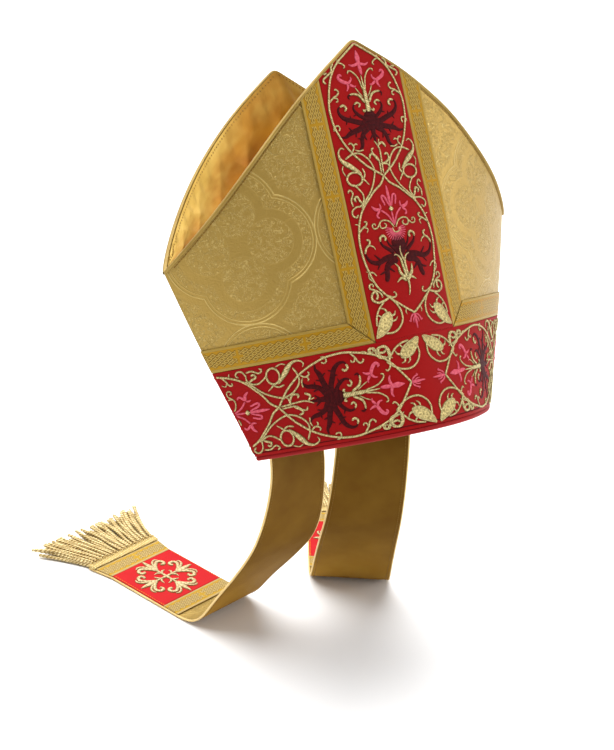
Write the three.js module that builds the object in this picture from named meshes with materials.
// A bishop's mitre: two stiffened shields joined at the sides, a satin fold between the horns,
// an embroidered red band round the rim and up each shield, gold galloon beside the bands,
// and two lappets that hang from the back of the rim.
// Millimetres, +Z up, front towards -Y, wearer's left towards +X. The origin is the centre of
// the rim, where the mitre sits on a head, and the mitre leans back as it does when it is worn.

import * as THREE from 'three';

// ---------------------------------------------------------------- driving dimensions
const LEAN = THREE.MathUtils.degToRad(28);      // how far the worn mitre leans back
const RIM_HALF_WIDTH = 113.4;                   // centre to side seam at the rim
const CORNER_HALF_WIDTH = 164.9;                // centre to side corner, where the seam ends
const SEAM_BULGE = 0.04;                        // how far the seams bow outwards between the two
const CORNER_HEIGHT = 157.4;
const PEAK_HEIGHT = 307.8;
const PEAK_ROUNDING = 3;
const SLANT_HOLLOW = 0.21;                      // the slanting edge's curve: hollow above the corner
const SLANT_FULLNESS = 0.58;                    // and full again towards the peak
const EDGE_CROWDING = 0.8;                      // rows of points lie closer together near the peak
const WALL = 2.4;                               // brocade on its stiffener
const WALL_DEPTH = 0.6;                         // the brocade lies this far under the red band
const GAP = 0.35;                               // between pieces that touch
const TRIM_THICKNESS = 0.9;
const CIRCULUS_TOP = 74.3;                      // top of the red band round the rim
const TITULUS_WIDTH = 74.5;                     // width of the upright red band
const GALLOON_WIDTH = 18.9;
const CORNER_CLEARANCE = 0.6;                   // between the galloons where they meet at 45 degrees
const PIPING_RADIUS = 1.8;
const GUSSET_THICKNESS = 1.2;
const GUSSET_TOP_INSET = 3;                     // below the slanting edges
const GUSSET_VALLEY_RISE = 14;                  // the fold's middle above the side corners
const GUSSET_REACH = 0.965;                     // how near to the side corners the fold comes
const GUSSET_SLANT = 1.55;                      // rise of the slanting edges for each unit across
const GUSSET_SLACK = 0.1;                       // how far the fold's sides bow into the valley

// A shield's depth from the seams' plane, and how full its curve is, at the rim and at the
// height named top. A fullness of 0.5 would be an ellipse, and 1 is a parabola.
const SHIELD_TABLE_TOP = 300;
const RIM_CURVE = 1.04;
const FRONT = { name: 'front', toward: -1, rimDepth: 88.2, topDepth: 69.5, topCurve: 0.71 };
const BACK = { name: 'back', toward: 1, rimDepth: 88.4, topDepth: 55.05, topCurve: 0.79 };

// The lappets. A route is walked down the middle of the strap from inside the rim. Hang is the
// strap's angle from straight down, towards the back.
const LAPPET_THICKNESS = 1.8;
const LAPPET_TOP_WIDTH = 62;
const LAPPET_END_WIDTH = 73.5;
const LAPPET_CENTRE = 47;                       // strap's middle from the mitre's middle, at the rim
const LAPPET_TAB = 24;                          // length sewn inside the rim
const LAPPET_BEND_START = 201;
const LAPPET_BEND_END = 227;
const LAPPET_CURL = 5;                          // the strap's edges follow the rim's curve
const LAPPET_CURL_LENGTH = 80;
const LAPPET_HANG = [
  { along: -LAPPET_TAB, hang: -22 },
  { along: 9, hang: -22 },
  { along: 16, hang: -2.3 },
  { along: 90, hang: 15.9 },
  { along: LAPPET_BEND_START, hang: 38.7 },
  { along: LAPPET_BEND_END, hang: 90 },
];
// Turn is how far the strap's heading swings out from straight back. It starts square to the rim.
const LAPPETS = [
  {
    name: 'lappet_right', side: -1,
    turns: [{ along: 10, turn: 30 }, { along: 50, turn: 11 }, { along: 150, turn: 13.7 }],
  },
  {
    name: 'lappet_left', side: 1,
    turns: [{ along: 10, turn: 30 }, { along: 50, turn: 24 }, { along: 150, turn: 32 }],
  },
];
const END_GALLOON_START = 238;                  // along the route, where the trimmed end begins
const END_PATCH_LENGTH = 66;
const FRINGE_HEADING = 8;
const FRINGE_LENGTH = 50;
const FRINGE_THICKNESS = 6;
const FRINGE_SPREAD = 1.48;                     // the fringe's width at its tips over the strap's
const HEADING_THICKNESS = 3;

// ---------------------------------------------------------------- materials
function finish(name, color, roughness, metalness) {
  return new THREE.MeshStandardMaterial({ name, color, roughness, metalness });
}
const gold = finish('gold_brocade', 0xc2a55c, 0.5, 0.25);
const satin = finish('golden_satin', 0xd89c38, 0.35, 0);
const red = finish('red_satin', 0xa8161c, 0.55, 0);
const braid = finish('gold_galloon', 0xc0a050, 0.45, 0.3);
const bullion = finish('gold_bullion', 0xd8bd72, 0.4, 0.35);

// ---------------------------------------------------------------- the shields' surface
const SECTION_STEPS = 240;
const sectionCache = new Map();

/** Half of a shield's outline at one height, from its middle to the seam, with its arc length. */
function section(shield, z) {
  const key = `${shield.name}:${z.toFixed(4)}`;
  if (sectionCache.has(key)) return sectionCache.get(key);
  const rise = z / CORNER_HEIGHT;
  const level = z / SHIELD_TABLE_TOP;
  const width = THREE.MathUtils.lerp(RIM_HALF_WIDTH, CORNER_HALF_WIDTH, rise)
    + SEAM_BULGE * z * (1 - rise);
  const depth = THREE.MathUtils.lerp(shield.rimDepth, shield.topDepth, level);
  const curve = THREE.MathUtils.lerp(RIM_CURVE, shield.topCurve, level);
  const points = [];
  const arc = [0];
  for (let i = 0; i <= SECTION_STEPS; i += 1) {
    const phi = (i / SECTION_STEPS) * (Math.PI / 2);
    const y = i === SECTION_STEPS ? 0 : depth * Math.cos(phi) ** (2 * curve);
    points.push(new THREE.Vector2(width * Math.sin(phi), y));
    if (i > 0) arc.push(arc[i - 1] + points[i].distanceTo(points[i - 1]));
  }
  const made = { points, arc, length: arc[SECTION_STEPS] };
  sectionCache.set(key, made);
  return made;
}

/** The point at arc length u from the shield's middle, at height z, on the shield's surface. */
function surfacePoint(shield, u, z) {
  const { points, arc, length } = section(shield, z);
  const reach = Math.min(Math.abs(u), length);
  let low = 0;
  let high = SECTION_STEPS;
  while (high - low > 1) {
    const middle = (low + high) >> 1;
    if (arc[middle] <= reach) low = middle;
    else high = middle;
  }
  const part = (reach - arc[low]) / (arc[high] - arc[low]);
  const flat = points[low].clone().lerp(points[high], part);
  return new THREE.Vector3(Math.sign(u) * flat.x, shield.toward * flat.y, z);
}

/** The surface's outward normal, from its slopes along and up. */
function surfaceNormal(shield, u, z) {
  const step = 1;
  const limit = section(shield, z).length - 2 * step;
  const at = THREE.MathUtils.clamp(u, -limit, limit);
  const along = surfacePoint(shield, at + step, z).sub(surfacePoint(shield, at - step, z));
  const low = Math.max(z - step, 0);
  const up = surfacePoint(shield, at, z + step).sub(surfacePoint(shield, at, low));
  const normal = along.cross(up).normalize();
  return normal.y * shield.toward > 0 ? normal : normal.negate();
}

/** A point raised off the surface by lift. At a side seam it stops at the seams' plane. */
function raisedPoint(shield, u, z, lift) {
  const length = section(shield, z).length;
  const seamZone = 0.5;
  if (Math.abs(u) < length - seamZone || z > CORNER_HEIGHT + seamZone) {
    return surfacePoint(shield, u, z).addScaledVector(surfaceNormal(shield, u, z), lift);
  }
  const nearSeam = 4;
  const inner = Math.sign(u) * (length - nearSeam);
  const start = surfacePoint(shield, inner, z).addScaledVector(surfaceNormal(shield, inner, z), lift);
  const travel = surfacePoint(shield, Math.sign(u) * length, z).sub(surfacePoint(shield, inner, z));
  const stop = shield.toward * (GAP / 2);
  return start.addScaledVector(travel, (stop - start.y) / travel.y);
}

/** Arc length from a shield's middle to its outline: the seam below, the slanting edge above. */
function outline(shield, z) {
  if (z <= CORNER_HEIGHT) return section(shield, z).length;
  const rise = (z - CORNER_HEIGHT) / (PEAK_HEIGHT - CORNER_HEIGHT);
  const slant = section(shield, CORNER_HEIGHT).length
    * (1 - rise) * (1 - SLANT_HOLLOW * rise + SLANT_FULLNESS * rise * rise);
  const rounding = 2 * PEAK_ROUNDING * slant * Math.exp(-slant / (3 * PEAK_ROUNDING));
  return Math.sqrt(Math.max(slant, 0) ** 2 + Math.max(rounding, 0));
}

/** The height of the slanting edge at arc length u from the middle. */
function edgeHeight(shield, u) {
  let low = CORNER_HEIGHT;
  let high = PEAK_HEIGHT;
  for (let i = 0; i < 40; i += 1) {
    const middle = (low + high) / 2;
    if (outline(shield, middle) > Math.abs(u)) low = middle;
    else high = middle;
  }
  return (low + high) / 2;
}

// ---------------------------------------------------------------- making solids
/** A closed solid from two grids of points, one above the other, joined round their edges. */
function slab(top, bottom, wrap = false) {
  const positions = [];
  const known = new Map();
  const index = [];
  const vertex = (point) => {
    const key = point.toArray().map((value) => Math.round(value * 1e4)).join();
    if (!known.has(key)) {
      known.set(key, positions.length / 3);
      positions.push(point.x, point.y, point.z);
    }
    return known.get(key);
  };
  const triangle = (a, b, c) => {
    if (a !== b && b !== c && c !== a) index.push(a, b, c);
  };
  const quad = (a, b, c, d) => {
    const [i, j, k, l] = [a, b, c, d].map(vertex);
    triangle(i, j, k);
    triangle(i, k, l);
  };
  const rows = top.length - 1;
  const columns = top[0].length - 1;
  for (let r = 0; r < rows; r += 1) {
    for (let c = 0; c < columns; c += 1) {
      quad(top[r][c], top[r][c + 1], top[r + 1][c + 1], top[r + 1][c]);
      quad(bottom[r][c], bottom[r + 1][c], bottom[r + 1][c + 1], bottom[r][c + 1]);
    }
    if (!wrap) {
      quad(top[r][0], top[r + 1][0], bottom[r + 1][0], bottom[r][0]);
      quad(top[r + 1][columns], top[r][columns], bottom[r][columns], bottom[r + 1][columns]);
    }
  }
  for (let c = 0; c < columns; c += 1) {
    quad(top[0][c + 1], top[0][c], bottom[0][c], bottom[0][c + 1]);
    quad(top[rows][c], top[rows][c + 1], bottom[rows][c + 1], bottom[rows][c]);
  }
  return facingOut(positions, index);
}

/** A geometry whose triangles all face out of its closed surface. */
function facingOut(positions, index) {
  const corner = [new THREE.Vector3(), new THREE.Vector3(), new THREE.Vector3()];
  let volume = 0;
  for (let i = 0; i < index.length; i += 3) {
    corner.forEach((point, k) => point.fromArray(positions, index[i + k] * 3));
    volume += corner[0].dot(corner[1].clone().cross(corner[2]));
  }
  if (volume < 0) {
    for (let i = 0; i < index.length; i += 3) {
      [index[i + 1], index[i + 2]] = [index[i + 2], index[i + 1]];
    }
  }
  const geometry = new THREE.BufferGeometry();
  geometry.setAttribute('position', new THREE.Float32BufferAttribute(positions, 3));
  geometry.setIndex(index);
  geometry.computeVertexNormals();
  return geometry;
}

/** Numbers from start to end in equal steps. */
function steps(count, start = 0, end = 1) {
  return Array.from({ length: count + 1 }, (_, i) => THREE.MathUtils.lerp(start, end, i / count));
}

/** Heights from start, which is left out, to the peak, closer together near the peak. */
function crowded(count, start) {
  return steps(count).slice(1)
    .map((v) => THREE.MathUtils.lerp(start, PEAK_HEIGHT, v ** EDGE_CROWDING));
}

/** A grid of points, one row for each value of down and one column for each value of across. */
function grid(down, across, at) {
  return down.map((v) => across.map((w) => at(w, v)));
}

/** A layer of cloth on a shield: place gives arc length and height from across and up. */
function layer(shield, across, up, place, lift, thickness) {
  const at = (raise) => (w, v) => {
    const [u, z] = place(w, v);
    return raisedPoint(shield, u, z, raise);
  };
  return slab(grid(up, across, at(lift)), grid(up, across, at(lift - thickness)));
}

function add(group, name, geometry, material) {
  const mesh = new THREE.Mesh(geometry, material);
  mesh.name = name;
  group.add(mesh);
}

// ---------------------------------------------------------------- the mitre's own pieces
const wallBottom = 2 * PIPING_RADIUS + GAP;
const trimLift = -WALL_DEPTH + GAP + TRIM_THICKNESS;
const wallInside = WALL_DEPTH + WALL;

function shieldPanel(shield) {
  const below = steps(6, wallBottom, CORNER_HEIGHT);
  const above = crowded(10, CORNER_HEIGHT);
  const place = (w, z) => [w * outline(shield, z), z];
  return layer(shield, steps(22, -1, 1), [...below, ...above], place, -WALL_DEPTH, WALL);
}

/** A point on a ring round both shields. Turn runs from 0 at one seam, past 2 at the other, to 4. */
function ringPoint(turn, z, raise) {
  const place = turn % 4;
  const shield = place < 2 ? FRONT : BACK;
  const across = place < 2 ? place - 1 : 3 - place;
  const point = raisedPoint(shield, across * outline(shield, z), z, raise);
  if (place % 2 === 0) point.y = 0;
  return point;
}

/** The red band round the rim: one closed ring over both shields. */
function circulus() {
  const columns = 12;
  const ring = (raise) => (w, z) => ringPoint(w, z, raise);
  const round = steps(4 * columns, 0, 4);
  const up = steps(4, wallBottom, CIRCULUS_TOP);
  return slab(grid(up, round, ring(trimLift)), grid(up, round, ring(trimLift - TRIM_THICKNESS)), true);
}

/** The corded edge under the rim, a ring of round section. */
function rimPiping() {
  const middle = -WALL_DEPTH - WALL / 2;
  const centre = steps(60, 0, 4).map((turn) => ringPoint(turn, PIPING_RADIUS, middle));
  const last = centre.length - 1;
  const facet = (i, angle) => {
    const ahead = centre[(i + 1) % last].clone().sub(centre[(i + last - 1) % last]).normalize();
    const outward = new THREE.Vector3(ahead.y, -ahead.x, 0);
    return centre[i % last].clone()
      .addScaledVector(outward, PIPING_RADIUS * Math.cos(angle))
      .add(new THREE.Vector3(0, 0, PIPING_RADIUS * Math.sin(angle)));
  };
  const half = (from) => steps(3, from, from + Math.PI)
    .map((angle) => centre.map((_, i) => facet(i, angle)));
  return slab(half(0), half(0).map((_, r) => half(Math.PI)[3 - r]), true);
}

function titulus(shield) {
  const half = TITULUS_WIDTH / 2;
  const shoulder = edgeHeight(shield, half);
  const tall = steps(7, CIRCULUS_TOP + GAP, shoulder);
  const point = crowded(4, shoulder);
  const place = (w, z) => [w * Math.min(half, outline(shield, z)), z];
  return layer(shield, steps(6, -1, 1), [...tall, ...point], place, trimLift, TRIM_THICKNESS);
}

/** The galloon beside the upright band, cut to 45 degrees at its foot and along the edge above. */
function uprightGalloon(shield, side) {
  const inner = TITULUS_WIDTH / 2 + GAP;
  const place = (w, v) => {
    const u = THREE.MathUtils.lerp(inner, inner + GALLOON_WIDTH - GAP, w);
    const foot = CIRCULUS_TOP + GAP + CORNER_CLEARANCE + w * (GALLOON_WIDTH - GAP);
    return [side * u, THREE.MathUtils.lerp(foot, edgeHeight(shield, u), v)];
  };
  return layer(shield, steps(2), steps(8), place, trimLift, TRIM_THICKNESS);
}

/** The galloon above the rim's band, cut to 45 degrees where it meets the upright one. */
function levelGalloon(shield, side) {
  const inner = TITULUS_WIDTH / 2 + CORNER_CLEARANCE + GAP;
  const place = (w, v) => {
    const z = CIRCULUS_TOP + GAP + v * (GALLOON_WIDTH - GAP);
    const start = inner + v * (GALLOON_WIDTH - GAP);
    return [side * THREE.MathUtils.lerp(start, outline(shield, z), w), z];
  };
  return layer(shield, steps(10), steps(2), place, trimLift, TRIM_THICKNESS);
}

/** The satin fold between the horns: it falls from both slanting edges into one long valley. */
function gusset() {
  const across = steps(24, -GUSSET_REACH, GUSSET_REACH);
  const norm = Math.hypot(1, GUSSET_SLANT);
  const attach = (shield, w) => {
    const z = THREE.MathUtils.lerp(CORNER_HEIGHT, PEAK_HEIGHT, (1 - Math.abs(w)));
    const u = Math.max(outline(shield, z) - GUSSET_TOP_INSET / norm, 0);
    const drop = GUSSET_TOP_INSET * GUSSET_SLANT / norm;
    const clear = wallInside + GAP + 2 * GUSSET_THICKNESS;
    return raisedPoint(shield, Math.sign(w) * u, z - drop, -clear);
  };
  const spine = across.map((w) => {
    const front = attach(FRONT, w);
    const back = attach(BACK, w);
    const valley = front.clone().lerp(back, 0.5);
    valley.z = CORNER_HEIGHT + GUSSET_VALLEY_RISE * (1 - w * w) - GUSSET_THICKNESS;
    return { front, valley, back };
  });
  const fall = steps(5);
  const rows = [];
  fall.forEach((t) => rows.push(spine.map(({ front, valley }) => slack(front, valley, t))));
  fall.slice(0, -1).reverse().forEach((t) => {
    rows.push(spine.map(({ back, valley }) => slack(back, valley, t)));
  });
  return slab(rows, loweredRows(rows, GUSSET_THICKNESS));
}

/** A point on the way from an edge to the valley, which rounds out at its foot. */
function slack(edge, valley, t) {
  const eased = t < 1 ? t - GUSSET_SLACK * Math.sin(Math.PI * t) * t : 1;
  const point = edge.clone().lerp(valley, t);
  point.x = THREE.MathUtils.lerp(edge.x, valley.x, eased);
  point.y = THREE.MathUtils.lerp(edge.y, valley.y, eased);
  return point;
}

/** The same grid moved down its own normals by thickness. */
function loweredRows(rows, thickness) {
  return rows.map((row, r) => row.map((point, c) => {
    const alongRow = row[Math.min(c + 1, row.length - 1)].clone().sub(row[Math.max(c - 1, 0)]);
    const downRows = rows[Math.min(r + 1, rows.length - 1)][c].clone()
      .sub(rows[Math.max(r - 1, 0)][c]);
    const normal = alongRow.cross(downRows).normalize();
    if (normal.z > 0) normal.negate();
    return point.clone().addScaledVector(normal, thickness);
  }));
}

// ---------------------------------------------------------------- the lappets
/** A value read from a table with straight lines between its rows. */
function fromTable(table, column, along) {
  if (along <= table[0].along) return table[0][column];
  for (let i = 1; i < table.length; i += 1) {
    const [a, b] = [table[i - 1], table[i]];
    if (along <= b.along) {
      return THREE.MathUtils.mapLinear(along, a.along, b.along, a[column], b[column]);
    }
  }
  return table[table.length - 1][column];
}

/** The strap's own directions at a distance along it: down its length, across it and out of it. */
function strapFrame(lappet, along) {
  const hang = THREE.MathUtils.degToRad(fromTable(LAPPET_HANG, 'hang', along));
  const turn = THREE.MathUtils.degToRad(fromTable(lappet.turns, 'turn', along));
  const length = new THREE.Vector3(
    lappet.side * Math.sin(turn) * Math.sin(hang),
    Math.cos(turn) * Math.sin(hang),
    -Math.cos(hang),
  );
  const across = new THREE.Vector3(Math.cos(turn), -lappet.side * Math.sin(turn), 0);
  return { length, across, out: across.clone().cross(length) };
}

const endLength = END_GALLOON_START + 2 * GALLOON_WIDTH + END_PATCH_LENGTH + FRINGE_HEADING;
const walkStep = 1;

/** The strap's middle line, walked in short steps from the rim both ways. */
function strapRoute(lappet) {
  const clear = WALL_DEPTH + WALL / 2 + PIPING_RADIUS + LAPPET_THICKNESS / 2 + 4 * GAP;
  const rim = raisedPoint(BACK, lappet.side * LAPPET_CENTRE, 0, -clear)
    .applyAxisAngle(new THREE.Vector3(1, 0, 0), -LEAN);
  const points = new Map([[0, rim]]);
  const tips = Math.ceil(endLength + FRINGE_LENGTH);
  for (let s = 0; s < tips; s += walkStep) {
    const { length } = strapFrame(lappet, s + walkStep / 2);
    points.set(s + walkStep, points.get(s).clone().addScaledVector(length, walkStep));
  }
  for (let s = 0; s > -LAPPET_TAB; s -= walkStep) {
    const { length } = strapFrame(lappet, s - walkStep / 2);
    points.set(s - walkStep, points.get(s).clone().addScaledVector(length, -walkStep));
  }
  return (along) => {
    const low = Math.min(Math.floor(along), tips - 1);
    return points.get(low).clone().lerp(points.get(low + walkStep), along - low);
  };
}

function strapWidth(along) {
  const share = THREE.MathUtils.clamp(along / LAPPET_BEND_END, 0, 1);
  return THREE.MathUtils.lerp(LAPPET_TOP_WIDTH, LAPPET_END_WIDTH, share);
}

/** A layer along the strap: its faces lie top and bottom above the strap's middle. */
function strapLayer(lappet, route, alongs, width, bottom, top, columns = 4) {
  const at = (raise) => (w, s) => {
    const { across, out } = strapFrame(lappet, s);
    const facing = out.y + out.z > 0 ? out : out.negate();
    const fade = THREE.MathUtils.clamp(1 - s / LAPPET_CURL_LENGTH, 0, 1);
    const curl = LAPPET_CURL * fade * fade * w * w;
    return route(s).addScaledVector(across, (w * width(s)) / 2).addScaledVector(facing, raise(s) - curl);
  };
  const across = steps(columns, -1, 1);
  return slab(grid(alongs, across, at(top)), grid(alongs, across, at(bottom)));
}

function lappetPieces(group, lappet) {
  const route = strapRoute(lappet);
  const level = (height) => () => height;
  const half = LAPPET_THICKNESS / 2;
  const onTop = half + GAP;
  const alongs = [
    ...steps(3, -LAPPET_TAB, -3), ...steps(4, 0, 24),
    ...steps(7, 24, LAPPET_BEND_START).slice(1),
    ...steps(5, LAPPET_BEND_START, LAPPET_BEND_END).slice(1),
    ...steps(4, LAPPET_BEND_END, endLength).slice(1),
  ];
  add(group, lappet.name, strapLayer(lappet, route, alongs, strapWidth, level(-half), level(half)), gold);
  const trims = [
    { part: 'upper_galloon', start: END_GALLOON_START, length: GALLOON_WIDTH, material: braid },
    { part: 'end_patch', start: END_GALLOON_START + GALLOON_WIDTH, length: END_PATCH_LENGTH, material: red },
    {
      part: 'lower_galloon', start: END_GALLOON_START + GALLOON_WIDTH + END_PATCH_LENGTH,
      length: GALLOON_WIDTH, material: braid,
    },
  ];
  trims.forEach(({ part, start, length, material }) => {
    const run = steps(2, start, start + length - GAP);
    const narrow = () => LAPPET_END_WIDTH - 1;
    const solid = strapLayer(lappet, route, run, narrow, level(onTop), level(onTop + TRIM_THICKNESS));
    add(group, `${lappet.name}_${part}`, solid, material);
  });
  const heading = strapLayer(lappet, route, steps(2, endLength - FRINGE_HEADING, endLength - GAP),
    () => LAPPET_END_WIDTH, level(onTop), level(onTop + HEADING_THICKNESS));
  add(group, `${lappet.name}_fringe_heading`, heading, bullion);
  const spread = (s) => LAPPET_END_WIDTH
    * THREE.MathUtils.lerp(1, FRINGE_SPREAD, (s - endLength) / FRINGE_LENGTH);
  const fringe = strapLayer(lappet, route, steps(5, endLength + GAP, endLength + FRINGE_LENGTH),
    spread, level(-half), level(FRINGE_THICKNESS - half));
  add(group, `${lappet.name}_fringe`, fringe, bullion);
}

// ---------------------------------------------------------------- the assembly
const part = new THREE.Group();
const mitre = new THREE.Group();
mitre.rotation.x = -LEAN;
part.add(mitre);

add(mitre, 'circulus', circulus(), red);
add(mitre, 'rim_piping', rimPiping(), red);
add(mitre, 'gusset', gusset(), satin);
for (const shield of [FRONT, BACK]) {
  add(mitre, `${shield.name}_shield`, shieldPanel(shield), gold);
  add(mitre, `${shield.name}_titulus`, titulus(shield), red);
  for (const side of [-1, 1]) {
    const hand = side < 0 ? 'right' : 'left';
    add(mitre, `${shield.name}_upright_galloon_${hand}`, uprightGalloon(shield, side), braid);
    add(mitre, `${shield.name}_level_galloon_${hand}`, levelGalloon(shield, side), braid);
  }
}
for (const lappet of LAPPETS) lappetPieces(part, lappet);

export default part;
